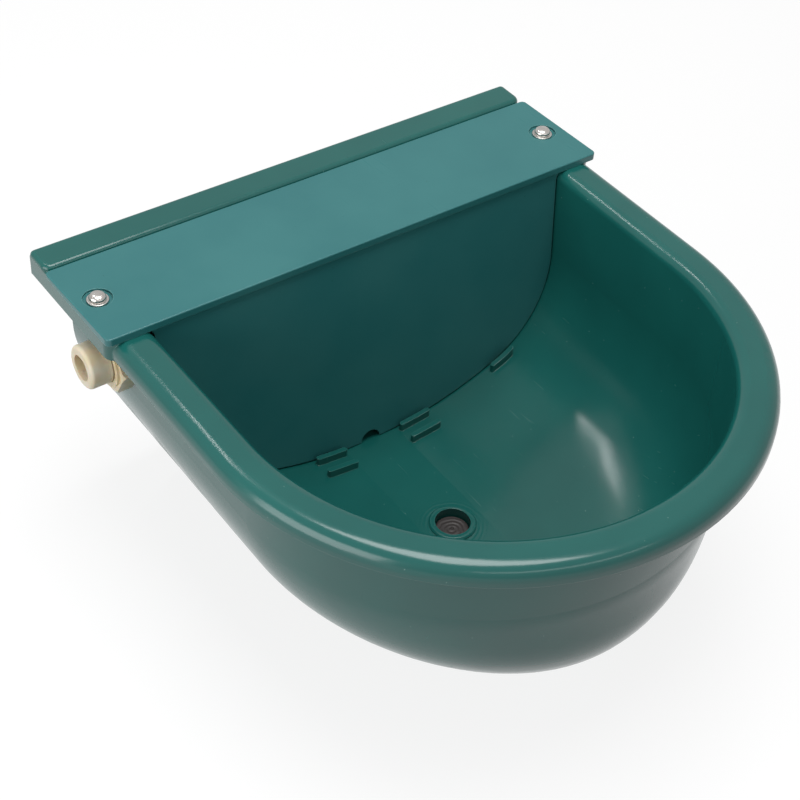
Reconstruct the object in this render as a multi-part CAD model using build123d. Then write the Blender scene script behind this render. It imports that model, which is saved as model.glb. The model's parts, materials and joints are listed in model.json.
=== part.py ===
from build123d import *
import math
import os

# Wall-hung drinking bowl for livestock, in millimetres.
# The origin is on the wall face, midway between the two wall bolts.
# +X is to the right of someone facing the wall, -Y comes out of the wall and +Z is up.

# Trough: a U section that runs out from the wall and ends in a round front.
trough_width = 225.0            # inside, between the straight sides
trough_wall = 3.5
back_wall = 3.5
straight_length = 154.2         # from the wall to where the round front starts
rim_top = 26.4                  # height above the wall bolts
trough_depth = 115.8            # from the rim's top to the floor
side_height = 47.1              # from the rim's top to where the sides start to curve in
side_corner_radius = 58.0
front_corner_radius = 44.0
front_lean = 0.03               # the front wall leans in by this much for each mm down
floor_flat_sag = 0.6            # the rounded floor is levelled this far above its lowest line

# Rolled rim round the open part of the trough.
rim_width = 19.1                # from the trough's inner face to the lip
rim_inner_radius = 5.5
rim_outer_radius = 7.0
rim_thickness = 2.8
lip_depth = 9.3                 # from the rim's top to the lip's lower edge
rim_root_depth = 14.0           # the rim's profile joins the wall this far down
rim_root_radius = 3.0

# Ledges beside the float chamber, which carry the cover.
ledge_width = 21.1              # from the trough's inner face to the skirt
ledge_length = 73.4             # from the wall
ledge_thickness = 3.2
ledge_skirt_depth = 10.6
ledge_edge_radius = 1.2
ledge_corner_radius = 6.0       # upright corner where the skirt meets the rim
ledge_web = 3.0

# Bar along the top of the back wall.
bar_end_overhang = 0.6          # past the ledges
bar_depth = 16.4
bar_thickness = 2.8
bar_nose_radius = 2.3
bar_front_corner_radius = 4.5
bar_back_corner_radius = 2.5
bar_rest_depth = 5.0            # step in front of the bar, under the cover's back edge
bar_rest_thickness = 2.6

# Wall bolts.
bolt_spacing = 130.0
bolt_hole_diameter = 9.0
bolt_boss_diameter = 22.0
bolt_boss_height = 2.5

# Ribs on the floor, in front of the apron.
rib_length = 17.5
rib_thickness = 2.6
rib_height = 4.2
rib_gap = 7.2                   # between the two ribs of a pair
rib_pair_x = 25.0               # centre of a pair, from the middle
rib_slope_x = 79.0              # single rib on the slope
rib_slope_length = 13.0
rib_corner_radius = 1.0
rib_apron_gap = 1.0

# Drain.
drain_diameter = 17.1
drain_distance = 151.7          # from the wall
drain_ring_diameter = 23.0
drain_ring_height = 1.5
drain_ring_chamfer = 0.8
drain_collar_wall = 5.0
drain_collar_height = 8.0       # below the trough's underside

# Cover: a plate over the float chamber, with an apron that reaches down to the floor.
cover_end_overhang = 1.4        # past the ledges
cover_back_gap = 0.7            # between the bar and the cover
cover_overhang = 1.2            # past the front of the ledges
cover_front_thickness = 3.6
cover_back_thickness = 1.9
cover_corner_radius = 2.5
cover_edge_radius = 0.6
cover_seat_gap = 0.05
apron_setback = 2.0             # behind the plate's front edge
apron_slope = 0.091             # the apron leans out by this much for each mm down
apron_thickness = 2.6
apron_clearance = 1.0           # between the apron's edge and the trough
water_notch_radius = 5.5
gusset_size = 24.0
gusset_thickness = 2.0
gusset_x = 45.0

# Cover screws.
screw_inset = 9.6               # from the ledge's outer face
screw_setback = 27.5            # from the ledge's front end
screw_recess_diameter = 13.5
screw_recess_floor = 1.3        # plate left under the recess
screw_diameter = 4.0
screw_length = 14.0
screw_head_diameter = 7.8
screw_head_height = 2.9
screw_head_chamfer = 1.3
screw_point_chamfer = 1.0
screw_slot_width = 1.0
screw_slot_length = 4.6
screw_slot_depth = 1.5
screw_hole_clearance = 0.05
screw_boss_diameter = 10.0
washer_diameter = 10.0
washer_thickness = 1.0
washer_hole_diameter = 4.4

# Float valve through the left wall. Its axis runs along X.
valve_setback = 22.4            # from the ledges' front end
valve_z = -1.5
thread_diameter = 20.955        # G 1/2 male
shank_reach = 21.0              # outside the wall
hose_thread_length = 8.5        # free thread in front of the locknut
thread_groove_width = 1.5
thread_groove_depth = 0.9
inlet_bore_diameter = 12.3
shank_end_radius = 1.8
wall_hole_clearance = 0.35
gasket_thickness = 2.0
gasket_diameter = 31.0
flange_thickness = 3.5
flange_diameter = 31.0
barrel_diameter = 19.0
barrel_length = 23.0
piston_bore_diameter = 11.0
nozzle_seat_bore = 8.0
nozzle_shoulder = 4.6           # web between the inlet bore and the piston's bore
outlet_length = 6.5
outlet_width = 9.0
nut_flats = 29.0
nut_thickness = 8.0
nut_collar_diameter = 26.0
nut_collar_height = 1.2
nut_corner_chamfer = 1.2
nut_washer_diameter = 30.0
nut_washer_thickness = 1.0
thread_clearance = 0.05

# Nozzle that the piston closes.
nozzle_flange_thickness = 2.5
nozzle_clearance = 0.05
nozzle_lip = 2.2                # past the shoulder, towards the piston
nozzle_tip_diameter = 5.4
nozzle_hole_diameter = 3.2

# Strainer in the inlet, standing on the nozzle's flange.
strainer_ring_thickness = 1.5
strainer_ring_wall = 2.2
strainer_length = 9.0
strainer_wall = 0.9
strainer_slots = 8
strainer_slot_width = 1.1
strainer_slot_length = 6.0

# Piston and its seal.
piston_length = 20.5
piston_clearance = 0.07         # on the radius
piston_end_chamfer = 0.8
seal_diameter = 7.4
seal_thickness = 2.6
seal_proud = 0.3
seal_clearance = 0.05
seat_gap = 0.05                 # between seal and nozzle with the valve shut

# Lever, arm and float. They turn about a pin below the piston.
pivot_drop = 12.5               # pin below the piston's axis
pivot_to_barrel_end = 6.8
rest_drop_angle = 20.0          # arm below level with the bowl empty
swing_angle = 16.0              # from open to shut
pin_diameter = 3.0
pin_clearance = 0.05
pin_head_diameter = 5.2
pin_head_thickness = 1.0
pin_groove_depth = 0.5
pin_end_reach = 0.8             # past the clip
clip_diameter = 6.4
clip_thickness = 0.8
clip_offset = 0.3               # between ear and clip
clip_mouth = 2.4
clip_clearance = 0.05
ear_thickness = 3.0
ear_half_width = 6.0
ear_root = 1.0                  # how far the ears run into the barrel's wall
lever_width = 6.0
lever_side_clearance = 0.3
lever_hub_radius = 4.0
lever_tip_radius = 2.4
lever_tip_width = 5.0
lever_blade_root = 3.8
lever_blade_tip = 2.6
lever_tip_clearance = 0.25
lever_neck_height = 6.5
lever_neck_root = 1.0           # how far the neck runs into the socket
socket_start = 10.0
socket_length = 20.0
socket_radius = 5.5
socket_chamfer = 0.6
arm_diameter = 5.0
arm_clearance = 0.05
arm_insert = 16.0               # length of arm inside the socket
arm_end_chamfer = 0.6
arm_end_reach = 4.5             # past the float's outer nut
clamp_screw_diameter = 4.0
clamp_boss_diameter = 8.0
clamp_boss_height = 1.0         # above the socket
clamp_head_diameter = 9.0
clamp_head_height = 4.0
clamp_head_gap = 0.6
clamp_head_chamfer = 0.4
clamp_lobes = 8
clamp_groove_radius = 1.1
clamp_groove_depth = 0.7
float_distance = 100.0          # from the pin to the float's middle
float_length = 76.0
float_width = 46.0
float_height = 42.0
float_offset = 3.0              # towards the wall from the arm
float_wall = 1.6
float_edge_radius = 10.0
float_seam_height = 1.0
float_seam_thickness = 2.0
float_tube_wall = 1.6
float_nut_flats = 8.0
float_nut_thickness = 4.0

# Drain plug, pushed up into the collar from below.
plug_clearance = 0.3
plug_sink = 4.6                 # top of the plug below the floor ring's top
plug_flange_diameter = 26.0
plug_flange_thickness = 3.0
plug_seat_gap = 0.3
plug_rib_height = 0.2
plug_rib_width = 1.0
plug_rib_levels = (0.3, 0.6)    # shares of the stem's height
plug_top_chamfer = 0.7
plug_gate_diameter = 1.6
plug_gate_height = 0.4
plug_flange_chamfer = 1.0
plug_tab_width = 15.0
plug_tab_height = 15.0
plug_tab_thickness = 4.0
plug_tab_hole = 7.0

# Cuts run this far past the face that they open.
cut_over = 1.0

# Values that follow from the sizes above.
inner_half_width = trough_width / 2
outer_half_width = inner_half_width + trough_wall
floor_z = rim_top - trough_depth
curve_z = rim_top - side_height
curve_depth = curve_z - floor_z
corner_x = inner_half_width - side_corner_radius
corner_centre_height = curve_depth - side_corner_radius
floor_radius = (corner_x**2 + curve_depth**2 - side_corner_radius**2) / (2 * corner_centre_height)
floor_centre_z = floor_z + floor_radius
meet_angle = math.degrees(math.atan2(floor_centre_z - curve_z, corner_x))
flat_floor_z = floor_z + floor_flat_sag
underside_z = flat_floor_z - trough_wall
front_centre = (0, -straight_length)
root_z = rim_top - rim_root_depth
lip_half_width = inner_half_width + rim_width
ledge_half_width = inner_half_width + ledge_width
bar_half_width = ledge_half_width + bar_end_overhang
cover_half_width = ledge_half_width + cover_end_overhang
screw_x = ledge_half_width - screw_inset
screw_y = -ledge_length + screw_setback
valve_y = -ledge_length + valve_setback
cover_front_y = -ledge_length - cover_overhang
cover_back_y = -bar_depth - cover_back_gap
plate_bottom = rim_top + cover_seat_gap
plate_front_top = plate_bottom + cover_front_thickness
plate_back_top = plate_bottom + cover_back_thickness
apron_top_y = cover_front_y + apron_setback
washer_seat_z = plate_bottom + screw_recess_floor
screw_seat_z = washer_seat_z + washer_thickness
drain_ring_top = flat_floor_z + drain_ring_height
collar_bottom = underside_z - drain_collar_height

wall_inner_x = -inner_half_width
wall_outer_x = -outer_half_width
shank_end_x = wall_outer_x - shank_reach
nut_seat_x = wall_outer_x - nut_washer_thickness
flange_start_x = wall_inner_x + gasket_thickness
barrel_start_x = flange_start_x + flange_thickness
barrel_end_x = barrel_start_x + barrel_length
shoulder_x = barrel_start_x - nozzle_shoulder
nozzle_tip_x = barrel_start_x + nozzle_lip
pivot_x = barrel_end_x - pivot_to_barrel_end
pivot_z = valve_z - pivot_drop
half_swing = math.radians(swing_angle / 2)
piston_travel = 2 * pivot_drop * math.sin(half_swing)
seal_face_x = nozzle_tip_x + seat_gap + piston_travel
piston_front_x = seal_face_x + seal_proud
lever_tip_x = pivot_x + pivot_drop * math.sin(half_swing)
ear_inner = lever_width / 2 + lever_side_clearance
ear_outer = ear_inner + ear_thickness
clip_bottom = ear_outer + clip_offset
clip_top = clip_bottom + clip_thickness
float_start = float_distance - float_length / 2
float_end = float_distance + float_length / 2
clamp_distance = socket_start + socket_length - arm_insert / 2
clamp_seat = socket_radius + clamp_boss_height


def post(radius, bottom, top):
    # Upright cylinder on the Z axis, between two heights.
    return Pos(0, 0, (bottom + top) / 2) * Cylinder(radius, top - bottom)


def rod(radius, start_x, end_x):
    # Cylinder on the X axis.
    return Pos((start_x + end_x) / 2, 0, 0) * Rot(0, 90, 0) * Cylinder(radius, end_x - start_x)


def on_valve(radius, start_x, end_x):
    # Cylinder on the valve's axis.
    return Pos(0, valve_y, valve_z) * rod(radius, start_x, end_x)


def block(low, high):
    # Box between two opposite corners.
    size = [top - bottom for bottom, top in zip(low, high)]
    centre = [(top + bottom) / 2 for bottom, top in zip(low, high)]
    return Pos(*centre) * Box(*size)


def both_sides(shape):
    return shape + mirror(shape, Plane.YZ)


def half_width_at(z, offset):
    # Half the width of the U section at one height, offset outwards from the trough's inner face.
    if z >= curve_z:
        return inner_half_width + offset
    corner = side_corner_radius + offset
    drop = curve_z - z
    if drop <= corner * math.sin(math.radians(meet_angle)):
        return corner_x + math.sqrt(corner**2 - drop**2)
    return math.sqrt((floor_radius + offset)**2 - (floor_centre_z - z)**2)


def front_reach_at(z, offset):
    # How far the round front stands out from its centre at one height.
    corner_z = floor_z + front_corner_radius
    lean = front_lean * (root_z - max(z, corner_z))
    reach = inner_half_width + offset - lean
    if z >= corner_z:
        return reach
    corner = front_corner_radius + offset
    return reach - corner + math.sqrt(corner**2 - (corner_z - z)**2)


def trough_slice(z, offset, back_y):
    # Level slice through the trough: straight sides and a half ellipse at the front.
    half = half_width_at(z, offset)
    reach = front_reach_at(z, offset)
    outline = [
        Line((-half, back_y), (-half, -straight_length)),
        EllipticalCenterArc(front_centre, half, reach, 180, arc_size=180),
        Line((half, -straight_length), (half, back_y)),
        Line((half, back_y), (-half, back_y)),
    ]
    return Pos(0, 0, z) * make_face(outline)


def trough_solid(offset, back_y, levels=10):
    # Solid body of the trough up to the rim's root, offset outwards from its inner face.
    depth = curve_depth + offset
    last_angle = math.asin(1 - floor_flat_sag / depth)
    drops = [depth * math.sin(last_angle * step / levels) for step in range(levels + 1)]
    curved = loft([trough_slice(curve_z - drop, offset, back_y) for drop in drops])
    straight = loft([trough_slice(z, offset, back_y) for z in (root_z, curve_z)], ruled=True)
    return straight + curved


def trough_shell():
    outer = trough_solid(trough_wall, 0)
    inner = trough_solid(0, -back_wall)
    return outer - inner


def rim_profile():
    # Rolled rim, drawn on the XZ plane with X measured from the trough's middle.
    bead_z = rim_top - rim_inner_radius
    turn_x = lip_half_width - rim_outer_radius
    turn_z = rim_top - rim_outer_radius
    under_z = rim_top - rim_thickness
    lip_z = rim_top - lip_depth
    lip_inner = lip_half_width - rim_thickness
    root_turn_x = outer_half_width + rim_root_radius
    root_turn_z = under_z - rim_root_radius
    outline = [
        Line((inner_half_width, root_z), (inner_half_width, bead_z)),
        CenterArc((inner_half_width + rim_inner_radius, bead_z), rim_inner_radius, 180, -90),
        Line((inner_half_width + rim_inner_radius, rim_top), (turn_x, rim_top)),
        CenterArc((turn_x, turn_z), rim_outer_radius, 90, -90),
        Polyline((lip_half_width, turn_z), (lip_half_width, lip_z), (lip_inner, lip_z), (lip_inner, turn_z)),
        CenterArc((turn_x, turn_z), rim_outer_radius - rim_thickness, 0, 90),
        Line((turn_x, under_z), (root_turn_x, under_z)),
        CenterArc((root_turn_x, root_turn_z), rim_root_radius, 90, 90),
        Polyline((outer_half_width, root_turn_z), (outer_half_width, root_z), (inner_half_width, root_z)),
    ]
    return Plane.XZ * make_face(outline)


def rim():
    # The rim runs on into the ledges' front webs.
    profile = rim_profile()
    start = ledge_length - ledge_web
    side = Pos(0, -start, 0) * extrude(profile, straight_length - start)
    axis = Axis((0, -straight_length, 0), (0, 0, 1))
    front = revolve(Pos(0, -straight_length, 0) * profile, axis, -180)
    return both_sides(side) + front


def ledge_profile():
    # Top of the chamber's side wall, the ledge that carries the cover, and its skirt.
    bead_z = rim_top - rim_inner_radius
    under_z = rim_top - ledge_thickness
    skirt_z = rim_top - ledge_skirt_depth
    edge_x = ledge_half_width - ledge_edge_radius
    edge_z = rim_top - ledge_edge_radius
    outline = [
        Line((inner_half_width, root_z), (inner_half_width, bead_z)),
        CenterArc((inner_half_width + rim_inner_radius, bead_z), rim_inner_radius, 180, -90),
        Line((inner_half_width + rim_inner_radius, rim_top), (edge_x, rim_top)),
        CenterArc((edge_x, edge_z), ledge_edge_radius, 90, -90),
        Polyline(
            (ledge_half_width, edge_z),
            (ledge_half_width, skirt_z),
            (ledge_half_width - ledge_thickness, skirt_z),
            (ledge_half_width - ledge_thickness, under_z),
            (outer_half_width, under_z),
            (outer_half_width, root_z),
            (inner_half_width, root_z),
        ),
    ]
    return Plane.XZ * make_face(outline)


def ledge():
    # Right-hand ledge, closed by a web at each end and stiffened by the screw boss.
    skirt_z = rim_top - ledge_skirt_depth
    web_low_x = outer_half_width - trough_wall / 2
    body = extrude(ledge_profile(), ledge_length)
    for near_y in (0, -ledge_length + ledge_web):
        body += block(
            (web_low_x, near_y - ledge_web, skirt_z),
            (ledge_half_width - ledge_thickness / 2, near_y, rim_top - ledge_thickness / 2),
        )
    turn_x = ledge_half_width - ledge_corner_radius
    turn_y = -ledge_length + ledge_corner_radius
    corner = block(
        (turn_x, -ledge_length - cut_over, skirt_z - cut_over),
        (ledge_half_width + cut_over, turn_y, rim_top + cut_over),
    )
    corner -= Pos(turn_x, turn_y) * post(ledge_corner_radius, skirt_z - cut_over, rim_top + cut_over)
    body -= corner
    hole_radius = screw_diameter / 2 + screw_hole_clearance
    body += Pos(screw_x, screw_y) * post(screw_boss_diameter / 2, skirt_z, rim_top - ledge_thickness / 2)
    return body - Pos(screw_x, screw_y) * post(hole_radius, skirt_z - cut_over, rim_top + cut_over)


def top_bar():
    # Bar along the wall, with a rounded nose and the step that the cover's back edge rests on.
    bar = block((-bar_half_width, -bar_depth, rim_top), (bar_half_width, 0, rim_top + bar_thickness))
    upright = bar.edges().filter_by(Axis.Z).sort_by(Axis.Y)
    bar = fillet(upright[:2], bar_front_corner_radius)
    bar = fillet(bar.edges().filter_by(Axis.Z).sort_by(Axis.Y)[-2:], bar_back_corner_radius)
    nose = bar.edges().filter_by(Axis.X).sort_by(Axis.Z)[-2:].sort_by(Axis.Y)[0]
    bar = fillet(nose, bar_nose_radius)
    back = block((-inner_half_width, -back_wall, root_z), (inner_half_width, 0, rim_top))
    rest = block(
        (-inner_half_width, -bar_depth - bar_rest_depth, rim_top - bar_rest_thickness),
        (inner_half_width, 0, rim_top),
    )
    return bar + back + rest


def floor_ribs():
    # Short upstands that follow the floor's curve: a pair on each side of the middle, one on each slope.
    apron_foot_y = apron_top_y - apron_slope * (plate_front_top - floor_z)
    first_y = apron_foot_y - rib_apron_gap
    second_y = first_y - rib_thickness - rib_gap
    skin = trough_solid(trough_wall / 2, 0) - trough_solid(-rib_height, 0)
    places = [(rib_pair_x, first_y, rib_length), (rib_pair_x, second_y, rib_length)]
    places.append((rib_slope_x, first_y, rib_slope_length))
    ribs = []
    for x, front_y, length in places:
        for side in (-1, 1):
            column = Box(length, rib_thickness, 2 * trough_depth)
            column = fillet(column.edges().filter_by(Axis.Z), rib_corner_radius)
            foot = skin & Pos(side * x, front_y - rib_thickness / 2) * column
            ribs.append(foot.solids().sort_by(Axis.Z)[0])
    return ribs


def drain_collar():
    # Raised ring on the floor and the collar under it that grips the plug.
    middle_z = flat_floor_z - trough_wall / 2
    ring = post(drain_ring_diameter / 2, middle_z, drain_ring_top)
    ring = chamfer(ring.edges().sort_by(Axis.Z)[-1], drain_ring_chamfer)
    collar = post(drain_diameter / 2 + drain_collar_wall, collar_bottom, middle_z)
    return Pos(0, -drain_distance) * (ring + collar)


def bowl_body():
    body = trough_shell() + rim() + both_sides(ledge()) + top_bar()
    body += drain_collar()
    body += floor_ribs()
    boss_top = back_wall + bolt_boss_height
    for side in (-1, 1):
        at_bolt = Plane.XZ * Pos(side * bolt_spacing / 2, 0)
        body += extrude(at_bolt * Circle(bolt_boss_diameter / 2), boss_top)
        body -= extrude(at_bolt * Circle(bolt_hole_diameter / 2), boss_top + cut_over, both=True)
    drain = post(drain_diameter / 2, collar_bottom - cut_over, drain_ring_top + cut_over)
    inlet_radius = thread_diameter / 2 + wall_hole_clearance
    inlet = on_valve(inlet_radius, wall_outer_x - cut_over, wall_inner_x + cut_over)
    return body - Pos(0, -drain_distance) * drain - inlet


def apron_section():
    # Outline of the apron: the trough's own section, drawn in by the clearance, and the rim's inner curve.
    inset = -apron_clearance
    side_x = inner_half_width + inset
    bead_z = rim_top - rim_inner_radius
    bead_x = inner_half_width + rim_inner_radius
    gap_radius = rim_inner_radius + apron_clearance
    rise = math.degrees(math.asin((rim_top - bead_z) / gap_radius))
    top_x = bead_x - gap_radius * math.cos(math.radians(rise))
    head_z = plate_bottom + cover_back_thickness / 2
    half = [
        CenterArc((0, floor_centre_z), floor_radius + inset, -90, 90 - meet_angle),
        CenterArc((corner_x, curve_z), side_corner_radius + inset, -meet_angle, meet_angle),
        Line((side_x, curve_z), (side_x, bead_z)),
        CenterArc((bead_x, bead_z), gap_radius, 180, -rise),
        Polyline((top_x, rim_top), (top_x, head_z), (0, head_z), (0, floor_z - inset)),
    ]
    return both_sides(Plane.XZ * make_face(half))


def apron():
    # The U-shaped sheet that shuts the chamber off, leaning out towards its foot.
    reach = plate_front_top - floor_z + trough_wall
    top_z = plate_front_top
    lean = apron_slope * reach
    slab_outline = Polyline(
        (apron_top_y, top_z),
        (apron_top_y - lean, top_z - reach),
        (apron_top_y - lean + apron_thickness, top_z - reach),
        (apron_top_y + apron_thickness, top_z),
        close=True,
    )
    slab = extrude(Plane.YZ * make_face(slab_outline), cover_half_width, both=True)
    column_length = lean - cover_front_y
    column = extrude(apron_section(), column_length)
    notch = extrude(Plane.XZ * Pos(0, floor_z + apron_clearance) * Circle(water_notch_radius), column_length)
    return (column & slab) - notch


def cover_plate():
    outline = Polyline(
        (cover_front_y, plate_bottom),
        (cover_front_y, plate_front_top),
        (cover_back_y, plate_back_top),
        (cover_back_y, plate_bottom),
        close=True,
    )
    plate = extrude(Plane.YZ * make_face(outline), cover_half_width, both=True)
    plate = fillet(plate.edges().filter_by(Axis.Z), cover_corner_radius)
    top_edges = plate.faces().sort_by(Axis.Z)[-1].edges()
    return fillet(top_edges, cover_edge_radius)


def float_cover():
    # Plate and apron, with a gusset and a recessed screw hole on each side.
    hidden_y = apron_top_y + apron_thickness / 2
    hidden_z = plate_bottom + cover_back_thickness / 2
    corner = Polyline(
        (hidden_y, hidden_z),
        (hidden_y - apron_slope * gusset_size, plate_bottom - gusset_size),
        (hidden_y + gusset_size, hidden_z),
        close=True,
    )
    gusset = extrude(Plane.YZ * make_face(corner), gusset_thickness / 2, both=True)
    recess = post(screw_recess_diameter / 2, washer_seat_z, plate_front_top + cut_over)
    hole = post(washer_hole_diameter / 2, plate_bottom - cut_over, washer_seat_z + cut_over)
    cover = cover_plate() + apron()
    for side in (-1, 1):
        cover += Pos(side * gusset_x, 0) * gusset
        cover -= Pos(side * screw_x, screw_y) * (recess + hole)
    return cover


def cover_washers():
    disc = post(washer_diameter / 2, washer_seat_z, screw_seat_z)
    ring = disc - post(washer_hole_diameter / 2, washer_seat_z - cut_over, screw_seat_z + cut_over)
    return [Pos(side * screw_x, screw_y) * ring for side in (-1, 1)]


def cover_screw():
    # Pan-head screw with a cross recess, standing on the washer at z = 0.
    shank = post(screw_diameter / 2, -screw_length, 0)
    shank = chamfer(shank.edges().sort_by(Axis.Z)[0], screw_point_chamfer)
    head = post(screw_head_diameter / 2, 0, screw_head_height)
    head = chamfer(head.edges().sort_by(Axis.Z)[-1], screw_head_chamfer)
    cross = Box(screw_slot_length, screw_slot_width, 2 * screw_slot_depth)
    cross += Box(screw_slot_width, screw_slot_length, 2 * screw_slot_depth)
    return shank + head - Pos(0, 0, screw_head_height) * cross


def cover_screws():
    return [Pos(side * screw_x, screw_y, screw_seat_z) * cover_screw() for side in (-1, 1)]


def valve_ears():
    # Two ears below the barrel that hold the lever's pin.
    ear_top = valve_z - barrel_diameter / 2 + ear_root
    outline = Pos(pivot_x, (ear_top + pivot_z) / 2) * Rectangle(2 * ear_half_width, ear_top - pivot_z)
    outline += Pos(pivot_x, pivot_z) * Circle(ear_half_width)
    outline -= Pos(pivot_x, pivot_z) * Circle(pin_diameter / 2 + pin_clearance)
    ear = extrude(Plane.XZ * outline, ear_thickness)
    return [Pos(0, valve_y + back, 0) * ear for back in (ear_outer, -ear_inner)]


def valve_body():
    # Moulded shank, flange, barrel and ears, with the stepped water way through them.
    shank = on_valve(thread_diameter / 2, shank_end_x, flange_start_x)
    shank = fillet(shank.edges().sort_by(Axis.X)[0], shank_end_radius)
    groove_x = shank_end_x + shank_end_radius + hose_thread_length
    groove = on_valve(thread_diameter / 2 + cut_over, groove_x, groove_x + thread_groove_width)
    groove -= on_valve(thread_diameter / 2 - thread_groove_depth, groove_x, groove_x + thread_groove_width)
    body = shank - groove + on_valve(flange_diameter / 2, flange_start_x, barrel_start_x)
    body += on_valve(barrel_diameter / 2, barrel_start_x, barrel_end_x)
    body += valve_ears()
    body -= on_valve(inlet_bore_diameter / 2, shank_end_x - cut_over, shoulder_x)
    body -= on_valve(nozzle_seat_bore / 2, shoulder_x - cut_over, barrel_start_x + cut_over)
    body -= on_valve(piston_bore_diameter / 2, barrel_start_x, barrel_end_x + cut_over)
    outlet_top = valve_z - piston_bore_diameter / 4
    outlet = block(
        (barrel_start_x, valve_y - outlet_width / 2, valve_z - barrel_diameter),
        (barrel_start_x + outlet_length, valve_y + outlet_width / 2, outlet_top),
    )
    lever_slot = block(
        (pivot_x - ear_half_width, valve_y - ear_inner, valve_z - barrel_diameter),
        (barrel_end_x + cut_over, valve_y + ear_inner, valve_z),
    )
    return body - outlet - lever_slot


def ring_on_shank(radius, start_x, end_x):
    # Ring that slides on the threaded shank.
    hole = on_valve(thread_diameter / 2 + thread_clearance, start_x - cut_over, end_x + cut_over)
    return on_valve(radius, start_x, end_x) - hole


def valve_gasket():
    return ring_on_shank(gasket_diameter / 2, wall_inner_x, flange_start_x)


def nut_washer():
    return ring_on_shank(nut_washer_diameter / 2, nut_seat_x, wall_outer_x)


def valve_locknut():
    # Hexagon nut outside the wall, with flats above and below.
    start_x = nut_seat_x - nut_thickness
    hexagon = RegularPolygon(nut_flats / 2, 6, major_radius=False)
    nut = extrude(Plane.YZ.offset(start_x) * Pos(valve_y, valve_z) * hexagon, nut_thickness)
    corner_radius = nut_flats / math.sqrt(3)
    dome = ring_on_shank(corner_radius, start_x, nut_seat_x)
    outer_edge = dome.edges().filter_by(GeomType.CIRCLE).sort_by(Axis.X)[:2].sort_by(SortBy.RADIUS)[-1]
    collar = ring_on_shank(nut_collar_diameter / 2, start_x - nut_collar_height, start_x)
    return (nut & chamfer(outer_edge, nut_corner_chamfer)) + collar


def valve_nozzle():
    # Jet with a flange on the inlet side and a narrow lip that the seal closes.
    flange_radius = inlet_bore_diameter / 2 - nozzle_clearance
    neck_radius = nozzle_seat_bore / 2 - nozzle_clearance
    flange_x = shoulder_x - nozzle_flange_thickness
    flange = on_valve(flange_radius, flange_x, shoulder_x)
    neck = on_valve(neck_radius, shoulder_x, barrel_start_x + nozzle_lip / 2)
    tip = on_valve(nozzle_tip_diameter / 2, barrel_start_x, nozzle_tip_x)
    hole = on_valve(nozzle_hole_diameter / 2, flange_x - cut_over, nozzle_tip_x + cut_over)
    return flange + neck + tip - hole


def inlet_strainer():
    # Slotted thimble that points up the flow from a ring on the nozzle's flange.
    ring_end_x = shoulder_x - nozzle_flange_thickness
    ring_start_x = ring_end_x - strainer_ring_thickness
    tip_x = ring_start_x - strainer_length
    ring_radius = inlet_bore_diameter / 2 - nozzle_clearance
    basket_radius = ring_radius - strainer_ring_wall
    body = on_valve(ring_radius, ring_start_x, ring_end_x)
    basket = on_valve(basket_radius, tip_x, ring_start_x)
    body += fillet(basket.edges().sort_by(Axis.X)[0], strainer_wall)
    body -= on_valve(basket_radius - strainer_wall, tip_x + strainer_wall, ring_end_x + cut_over)
    slot = Pos(0, 0, basket_radius) * Box(strainer_slot_length, strainer_slot_width, basket_radius)
    middle = Pos(tip_x + strainer_length / 2, valve_y, valve_z)
    for step in range(strainer_slots):
        body -= middle * Rot(360 / strainer_slots * step, 0, 0) * slot
    return body


def piston():
    radius = piston_bore_diameter / 2 - piston_clearance
    body = on_valve(radius, piston_front_x, piston_front_x + piston_length)
    body = chamfer(body.edges().sort_by(Axis.X)[-1], piston_end_chamfer)
    pocket_end_x = seal_face_x + seal_thickness
    body -= on_valve(seal_diameter / 2 + seal_clearance, piston_front_x - cut_over, pocket_end_x)
    slot_half = lever_tip_radius + lever_tip_clearance
    slot_width = lever_tip_width / 2 + lever_tip_clearance
    slot = block(
        (lever_tip_x - slot_half, valve_y - slot_width, valve_z - radius - cut_over),
        (lever_tip_x + slot_half, valve_y + slot_width, valve_z + slot_half + cut_over),
    )
    return body - slot


def piston_seal():
    return on_valve(seal_diameter / 2, seal_face_x, seal_face_x + seal_thickness)


def at_pivot():
    return Pos(pivot_x, valve_y, pivot_z)


def pivot_pin():
    # Headed pin through both ears, with a groove for the clip.
    pin = post(pin_diameter / 2, -ear_outer, clip_top + pin_end_reach)
    pin += post(pin_head_diameter / 2, -ear_outer - pin_head_thickness, -ear_outer)
    groove = post(pin_diameter / 2 + cut_over, clip_bottom, clip_top)
    groove -= post(pin_diameter / 2 - pin_groove_depth, clip_bottom, clip_top)
    return at_pivot() * Rot(90, 0, 0) * (pin - groove)


def pin_clip():
    # Open ring snapped into the pin's groove.
    ring = post(clip_diameter / 2, clip_bottom, clip_top)
    ring -= post(pin_diameter / 2 - pin_groove_depth + clip_clearance, clip_bottom, clip_top)
    mouth = Pos(0, -clip_diameter / 2, clip_bottom) * Box(clip_mouth, clip_diameter, 4 * clip_thickness)
    return at_pivot() * Rot(90, 0, 0) * (ring - mouth)


def on_lever(shape):
    # Moves a shape from the lever's own frame, arm along +X from the pin, to its place at rest.
    return at_pivot() * Rot(0, rest_drop_angle, 0) * shape


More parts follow.
